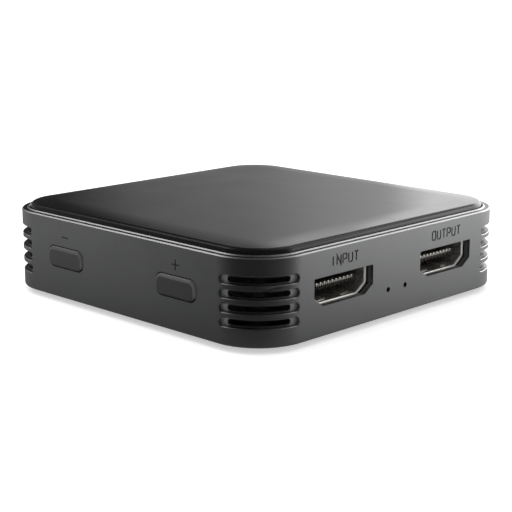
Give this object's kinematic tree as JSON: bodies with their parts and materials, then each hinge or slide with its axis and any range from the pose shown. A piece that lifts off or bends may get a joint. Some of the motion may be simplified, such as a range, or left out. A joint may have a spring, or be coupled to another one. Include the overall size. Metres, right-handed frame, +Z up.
{
  "type": "video capture box",
  "caption": "Small square box that passes video from an input socket to an output socket and sends a copy to a computer, with volume buttons and corner vents.",
  "frame": {"origin": "middle of the case's footprint, on the surface that its feet stand on", "axes": "+Z up through the top cover, -Y out of the wall with the video sockets, -X out of the wall with the buttons"},
  "size_m": [0.0703, 0.07, 0.0174],
  "materials": {
    "case_plastic": "satin, dark metallic grey",
    "cover_metal": "satin anodised, dark grey",
    "adhesive": "matt foam tape",
    "base_plastic": "matt, fine grain",
    "foot_rubber": "matt",
    "screw_steel": "zinc plated",
    "socket_shell": "nickel plated sheet steel",
    "socket_moulding": "black moulding",
    "gold_contact": "gold flashed",
    "jack_moulding": "black moulding",
    "button_plastic": "satin, dark metallic grey",
    "switch_moulding": "black moulding",
    "switch_plunger": "ivory moulding",
    "switch_steel": "tinned sheet",
    "clear_guide": "clear moulding",
    "light_lens": "milky lens",
    "board": "dark solder mask",
    "chip_epoxy": "moulded epoxy",
    "crystal_can": "drawn can",
    "ferrite": "pressed ferrite",
    "ceramic": "fired ceramic",
    "tantalum": "moulded yellow",
    "thermal_gel": "soft filled silicone",
    "sink_aluminium": "anodised extrusion"
  },
  "bodies": {
    "case": {"side_frame": "case_plastic", "cover_tape": "adhesive", "top_cover": "cover_metal", "base_cover": "base_plastic", "rubber_feet": "foot_rubber", "case_screws": "screw_steel", "board_screws": "screw_steel", "video_in_shell": "socket_shell", "video_in_insulator": "socket_moulding", "video_in_contacts": "gold_contact", "video_out_shell": "socket_shell", "video_out_insulator": "socket_moulding", "video_out_contacts": "gold_contact", "data_socket_shell": "socket_shell", "data_socket_tongue": "socket_moulding", "data_socket_contacts": "gold_contact", "microphone_jack_body": "jack_moulding", "microphone_jack_springs": "gold_contact", "headphone_jack_body": "jack_moulding", "headphone_jack_springs": "gold_contact", "plus_switch_body": "switch_moulding", "plus_switch_cover": "switch_steel", "minus_switch_body": "switch_moulding", "minus_switch_cover": "switch_steel", "switch_terminals": "switch_steel", "light_guide": "clear_guide", "status_lights": "light_lens", "circuit_board": "board", "video_processor": "chip_epoxy", "memory_chips": "chip_epoxy", "data_bridge_chip": "chip_epoxy", "sound_chip": "chip_epoxy", "firmware_chip": "chip_epoxy", "firmware_chip_legs": "switch_steel", "clock_crystals": "crystal_can", "power_inductors": "ferrite", "voltage_regulators": "chip_epoxy", "bulk_capacitors": "tantalum", "surge_protectors": "chip_epoxy", "small_capacitors": "ceramic", "resistors": "chip_epoxy", "thermal_pad": "thermal_gel", "heat_sink": "sink_aluminium"},
    "plus_button": {"plus_button": "button_plastic", "plus_switch_plunger": "switch_plunger"},
    "minus_button": {"minus_button": "button_plastic", "minus_switch_plunger": "switch_plunger"}
  },
  "joints": [
    {"name": "plus_button_press", "type": "slide", "parent": "case", "child": "plus_button", "axis": [1, 0, 0], "range_m": [0, 0.0003], "stiffness_N_per_m": 3000, "springref_m": -0.0002},
    {"name": "minus_button_press", "type": "slide", "parent": "case", "child": "minus_button", "axis": [1, 0, 0], "range_m": [0, 0.0003], "stiffness_N_per_m": 3000, "springref_m": -0.0002}
  ]
}
